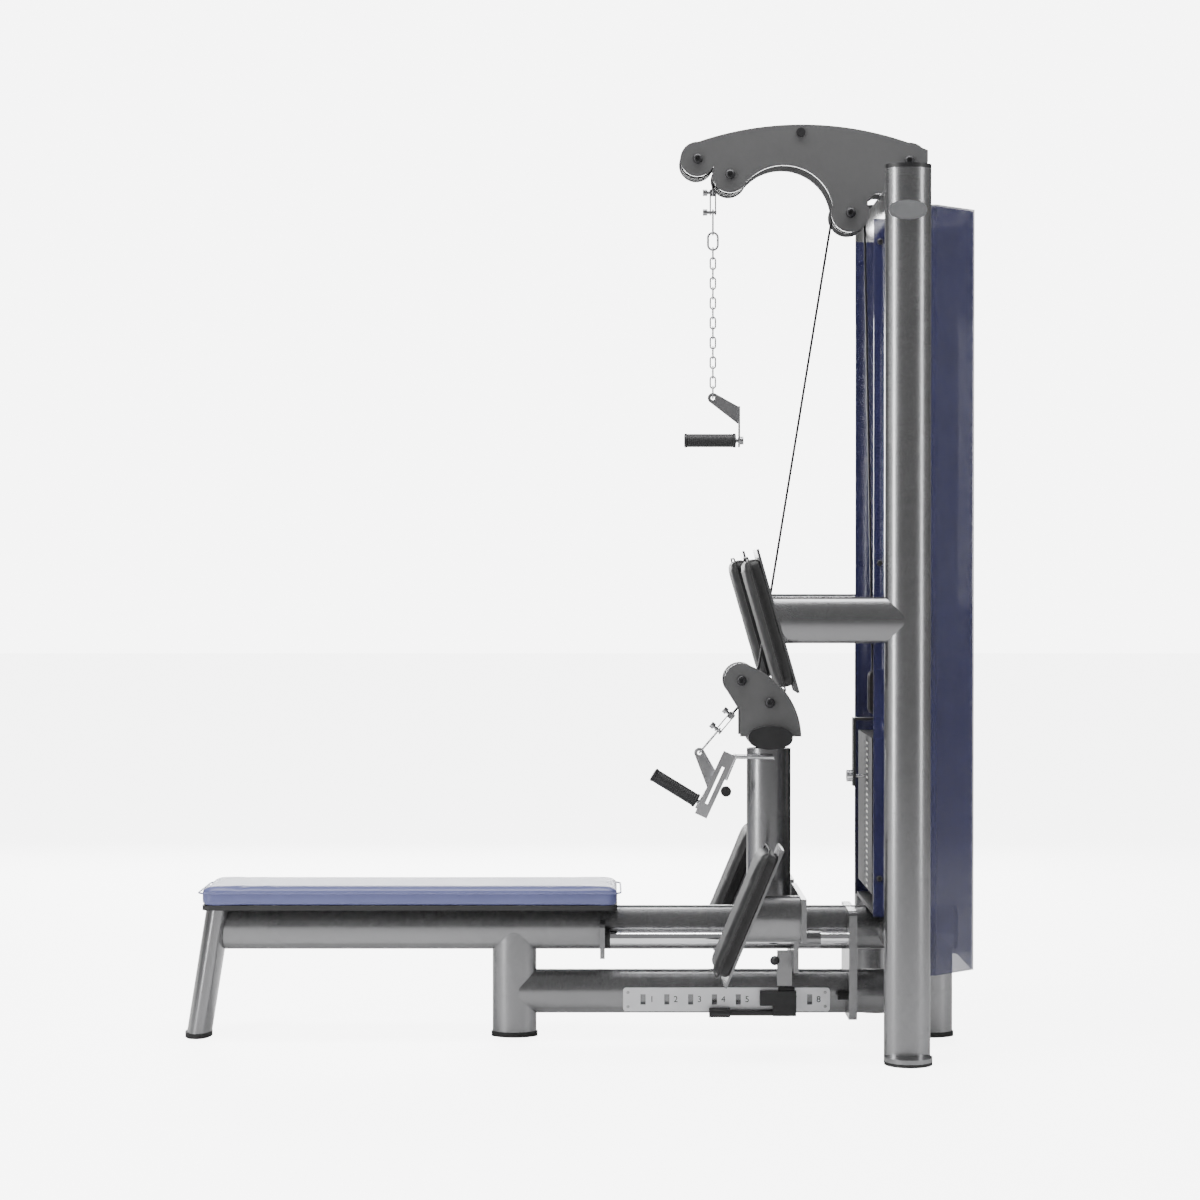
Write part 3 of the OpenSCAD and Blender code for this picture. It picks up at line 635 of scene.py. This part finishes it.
class LAT_OT_cables(bpy.types.Operator):
    """Makes the cable runs whose length changes."""

    bl_idname = "lat.cables"
    bl_label = "Cables"

    def execute(self, context):
        low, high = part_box("cable_upper_end")
        radius = (high.x - low.x) / 2
        wrap_low, wrap_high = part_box("cable_floating_wrap")
        wrap = (wrap_high.x - wrap_low.x) / 2 - radius
        middle = node_centre("cable_upper_end")
        cable_run(
            "cable_handle_end", Vector((middle.x, 0, high.z)), Vector((middle.x, 0, low.z)), radius,
            "cable_upper_end",
        )
        floating = node_centre("floating_pulley")
        start, end = tangent(node_centre("rear_pulley"), floating, 1, 1, wrap)
        cable_run("cable_rear_run", start, end, radius, "cable_stack_runs")
        end, start = tangent(floating, node_centre("return_pulley"), 1, -1, wrap)
        cable_run("cable_return_run", start, end, radius, "cable_stack_runs")
        low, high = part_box("cable_low_end")
        lean = math.radians(LOW_CABLE_LEAN)
        centre = node_centre("low_nose_pulley")
        start = centre + wrap * Vector((math.cos(lean), 0, -math.sin(lean)))
        length = ((high.z - low.z) - 2 * radius * math.sin(lean)) / math.cos(lean)
        end = start - length * Vector((math.sin(lean), 0, math.cos(lean)))
        cable_run("cable_row_end", start, end, radius, "cable_low_end")
        return {"FINISHED"}


# ---------------------------------------------------------------- grips


def grip_profile(length, radius):
    """Ribbed sleeve with a flange at both ends, as (place, radius) pairs."""
    half = length / 2
    profile = [
        (-half, 0.0), (-half, radius * 0.9), (-half + 0.0015, radius * 1.06), (-half + 0.006, radius * 1.06),
    ]
    span = length - 0.018
    for rib in range(GRIP_RIBS):
        z = -half + 0.009 + span * rib / GRIP_RIBS
        pitch = span / GRIP_RIBS
        profile += [(z, radius * 0.965), (z + pitch * 0.2, radius), (z + pitch * 0.75, radius)]
    profile += [
        (half - 0.008, radius * 0.965), (half - 0.006, radius * 1.08), (half - 0.0015, radius * 1.08),
        (half, radius * 0.95), (half, 0.0),
    ]
    return profile


class LAT_OT_grips(bpy.types.Operator):
    """Makes the two ribbed handle grips."""

    bl_idname = "lat.grips"
    bl_label = "Grips"

    def execute(self, context):
        low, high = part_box("upper_grip")
        length = high.x - low.x
        for node, lean in (("upper_grip", 0.0), ("low_grip", LOW_HANDLE_LEAN)):
            angle = math.radians(lean)
            axis = Vector((math.cos(angle), 0, -math.sin(angle)))
            bm = bmesh.new()
            round_piece(bm, grip_profile(length, GRIP_RADIUS), along(axis, node_centre(node)))
            piece = finish_mesh(node + "_sleeve", bm, node, "grip")
            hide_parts(node)
        return {"FINISHED"}


# ---------------------------------------------------------------- hardware


def button_head(radius, height):
    """Domed screw head with a hollow drive, as (place, radius) pairs."""
    return [
        (0.0, 0.0), (0.0, radius), (height * 0.35, radius), (height * 0.75, radius * 0.85),
        (height, radius * 0.6), (height, radius * 0.42), (height * 0.45, radius * 0.36), (height * 0.45, 0.0),
    ]


class LAT_OT_hardware(bpy.types.Operator):
    """Makes the screw heads, rivets, latch ball and the badge's raised rim."""

    bl_idname = "lat.hardware"
    bl_label = "Hardware"

    def execute(self, context):
        low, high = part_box("pulley_bolts")
        held = ("nose", "second", "rear", "return", "low_nose", "low_second")
        places = [node_centre(name + "_pulley") for name in held]
        bm = bmesh.new()
        for place in places:
            for side, y in ((-1, low.y), (1, high.y)):
                spot = Vector((place.x, y - side * SINK, place.z))
                round_piece(bm, button_head(0.0125, 0.006), along((0, side, 0), spot), 24)
        finish_mesh("pulley_bolt_heads", bm, "root", "bolt")

        low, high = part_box("scale_plate")
        bm = bmesh.new()
        for x in (low.x + RIVET_INSET, high.x - RIVET_INSET):
            for z in (low.z + RIVET_INSET, high.z - RIVET_INSET):
                spot = Vector((x, low.y + SINK, z))
                round_piece(bm, button_head(0.004, 0.002), along((0, -1, 0), spot), 20)
        finish_mesh("scale_plate_rivets", bm, "root", "steel")

        low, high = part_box("cover_screws")
        bm = bmesh.new()
        for side, y in ((-1, low.y), (1, high.y)):
            for z in (low.z + 0.007, MIDDLE_SCREW_Z, high.z - 0.007):
                spot = Vector(((low.x + high.x) / 2, y - side * SINK, z))
                round_piece(bm, button_head(0.0075, 0.003), along((0, side, 0), spot), 20)
        finish_mesh("cover_screw_heads", bm, "root", "bolt")

        low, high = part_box("latch_lever")
        bm = bmesh.new()
        turns = [math.pi * k / 10 for k in range(11)]
        ball = [(BALL_RADIUS - BALL_RADIUS * math.cos(turn), BALL_RADIUS * math.sin(turn)) for turn in turns]
        spot = Vector((high.x - BALL_BACK, low.y - BALL_OUT, BALL_Z))
        round_piece(bm, ball, along((0, -1, 0), spot), 24)
        stem = [(0, 0.0), (0, 0.004), (0.016, 0.004), (0.016, 0.0)]
        round_piece(bm, stem, along((0, -1, 0), spot + Vector((0, 0.016, 0))), 16)
        finish_mesh("latch_ball", bm, "carriage", "cap")

        low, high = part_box("column_badge")
        bm = bmesh.new()
        bmesh.ops.create_cone(
            bm, cap_ends=True, segments=48, radius1=0.5, radius2=0.5, depth=0.0012,
            matrix=Matrix.Translation((0, 0, 0.0006)),
        )
        bmesh.ops.scale(bm, vec=((high.x - low.x) * 0.88, (high.z - low.z) * 0.8, 1), verts=bm.verts)
        faces = [f for f in bm.faces if f.normal.z > 0.9]
        bmesh.ops.inset_region(bm, faces=faces, thickness=0.003, depth=-0.0006)
        spot = Vector(((low.x + high.x) / 2, low.y + SINK, (low.z + high.z) / 2))
        turn = Matrix.Translation(spot) @ Matrix.Rotation(math.radians(90), 4, "X")
        finish_mesh("badge_rim", bm, "root", "badge", turn=turn)
        return {"FINISHED"}


# ---------------------------------------------------------------- marks


class LAT_OT_marks(bpy.types.Operator):
    """Makes the stack's white strips and the scale plate's numbers."""

    bl_idname = "lat.marks"
    bl_label = "Marks"

    def strips(self, name, node, body, first, count, pitch, thick):
        low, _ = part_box(node)
        bm = bmesh.new()
        for index in range(count):
            z = first + index * pitch + thick / 2
            block(bm, STRIP_SIZE, (low.x - 0.0003, STRIP_Y, z), 0.0003, 1)
        finish_mesh(name, bm, body, "scale", finish_for("label"))

    def execute(self, context):
        low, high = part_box("lower_plates")
        pitch = (high.z - low.z + PLATE_GAP) / LOWER_PLATES
        thick = pitch - PLATE_GAP
        self.strips("lower_plate_strips", "lower_plates", "root", low.z, LOWER_PLATES, pitch, thick)
        low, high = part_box("raised_plates")
        self.strips("raised_plate_strips", "raised_plates", "stack", low.z, RAISED_PLATES, pitch, thick)

        low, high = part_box("scale_plate")
        slots = context.scene.lat_frame.slot_count
        first = low.x + FIRST_SLOT + NUMBER_SHIFT
        for index in range(slots):
            text = bpy.data.curves.new("number", "FONT")
            text.body = str(index + 1)
            text.size = NUMBER_SIZE
            text.extrude = 0.0003
            text.align_x = "CENTER"
            text.align_y = "CENTER"
            shape = bpy.data.objects.new("number_shape", text)
            mesh = bpy.data.meshes.new_from_object(shape)
            bpy.data.objects.remove(shape)
            spot = Vector((first + index * SLOT_PITCH, low.y - 0.0001, (low.z + high.z) / 2))
            mesh.transform(Matrix.Translation(spot) @ Matrix.Rotation(math.radians(90), 4, "X"))
            mesh.materials.clear()
            mesh.materials.append(finish_for("mark"))
            piece = bpy.data.objects.new(f"scale_number_{index + 1}", mesh)
            context.scene.collection.objects.link(piece)
            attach(piece, "root")
        return {"FINISHED"}


# ---------------------------------------------------------------- finishes and stage


class LAT_OT_finishes(bpy.types.Operator):
    """Makes every finish and puts it on the frame's own pieces."""

    bl_idname = "lat.finishes"
    bl_label = "Finishes"

    def execute(self, context):
        make_finishes(context.scene)
        slots = {entry["node"]: entry["material_slot"] for entry in frame["record"]["subparts"]}
        for node, piece in frame["nodes"].items():
            piece.data.materials.clear()
            piece.data.materials.append(finish_for(slots[node]))
        return {"FINISHED"}


class LAT_OT_stage(bpy.types.Operator):
    """Makes the floor, the lights and the camera."""

    bl_idname = "lat.stage"
    bl_label = "Stage"

    def lamp(self, name, place, size, power, aim):
        data = bpy.data.lights.new(name, "AREA")
        data.shape = "RECTANGLE"
        data.size, data.size_y = size
        data.energy = power
        lamp = bpy.data.objects.new(name, data)
        lamp.location = place
        lamp.rotation_euler = (Vector(aim) - Vector(place)).to_track_quat("-Z", "Y").to_euler()
        bpy.context.scene.collection.objects.link(lamp)

    def execute(self, context):
        settings = context.scene.lat_stage
        bm = bmesh.new()
        bmesh.ops.create_grid(bm, x_segments=2, y_segments=2, size=30.0)
        mesh = bpy.data.meshes.new("floor")
        bm.to_mesh(mesh)
        bm.free()
        floor = bpy.data.objects.new("floor", mesh)
        context.scene.collection.objects.link(floor)
        paint = Finish("floor_paint")
        cloud = paint.noise(0.6, 2.0)
        tone = settings.floor_colour
        tint = paint.blend(cloud, shade(tone, 0.985), shade(tone, 1.01))
        paint.feed(paint.shader.inputs["Base Color"], tint)
        paint.set(Roughness=0.6, Emission_Strength=settings.floor_glow)
        seen = paint.add("ShaderNodeLightPath", {}, {})
        paint.feed(paint.shader.inputs["Emission Color"], paint.blend(seen, (0.0, 0.0, 0.0), tone))
        mesh.materials.append(paint.material)

        world = bpy.data.worlds.new("studio")
        world.use_nodes = True
        background = world.node_tree.nodes["Background"]
        background.inputs["Color"].default_value = (1.0, 1.0, 1.0, 1.0)
        seen = world.node_tree.nodes.new("ShaderNodeLightPath")
        level = world.node_tree.nodes.new("ShaderNodeMapRange")
        level.inputs["To Min"].default_value = settings.room_light
        level.inputs["To Max"].default_value = settings.backdrop_light
        world.node_tree.links.new(seen.outputs["Is Camera Ray"], level.inputs["Value"])
        world.node_tree.links.new(level.outputs["Result"], background.inputs["Strength"])
        context.scene.world = world

        self.lamp("left_strip", (-3.4, -3.4, 2.2), (0.5, 4.4), 170.0, (0.4, 0, 1.1))
        self.lamp("right_strip", (4.2, -2.6, 2.2), (0.4, 4.4), 70.0, (0.4, 0, 1.1))
        self.lamp("overhead", (0.1, -0.6, 4.4), (4.6, 1.0), 230.0, (0.1, 0, 0))
        self.lamp("behind", (-0.4, 4.2, 1.6), (4.4, 1.2), 220.0, (-0.4, 0, 0.4))

        data = bpy.data.cameras.new("camera")
        data.lens = settings.lens
        data.sensor_width = 36.0
        data.clip_end = 100.0
        camera = bpy.data.objects.new("camera", data)
        camera.location = (settings.camera_x, -settings.camera_distance, settings.camera_height)
        camera.rotation_euler = (math.radians(90) - settings.camera_drop, 0, 0)
        context.scene.collection.objects.link(camera)
        context.scene.camera = camera
        return {"FINISHED"}


class LAT_PT_panel(bpy.types.Panel):
    """Lists the machine's operators and sizes."""

    bl_idname = "LAT_PT_panel"
    bl_label = "Lat Machine"
    bl_space_type = "VIEW_3D"
    bl_region_type = "UI"
    bl_category = "Lat Machine"

    def draw(self, context):
        layout = self.layout
        for operator in OPERATORS:
            layout.operator(operator.bl_idname)
        for group in (context.scene.lat_stage, context.scene.lat_pads, context.scene.lat_frame):
            for key in group.bl_rna.properties.keys():
                if key not in ("rna_type", "name"):
                    layout.prop(group, key)


OPERATORS = (
    LAT_OT_stage, LAT_OT_finishes, LAT_OT_upholstery, LAT_OT_cables, LAT_OT_grips, LAT_OT_hardware,
    LAT_OT_marks,
)
GROUPS = (LatStageSettings, LatPadSettings, LatFrameSettings)


def register():
    for group in GROUPS:
        bpy.utils.register_class(group)
    for operator in OPERATORS:
        bpy.utils.register_class(operator)
    bpy.utils.register_class(LAT_PT_panel)
    bpy.types.Scene.lat_stage = PointerProperty(type=LatStageSettings)
    bpy.types.Scene.lat_pads = PointerProperty(type=LatPadSettings)
    bpy.types.Scene.lat_frame = PointerProperty(type=LatFrameSettings)


def unregister():
    del bpy.types.Scene.lat_frame
    del bpy.types.Scene.lat_pads
    del bpy.types.Scene.lat_stage
    bpy.utils.unregister_class(LAT_PT_panel)
    for operator in reversed(OPERATORS):
        bpy.utils.unregister_class(operator)
    for group in reversed(GROUPS):
        bpy.utils.unregister_class(group)


def main():
    register()
    bpy.ops.lat.stage()
    bpy.ops.lat.finishes()
    bpy.ops.lat.upholstery()
    bpy.ops.lat.cables()
    bpy.ops.lat.grips()
    bpy.ops.lat.hardware()
    bpy.ops.lat.marks()


if __name__ == "__main__":
    main()
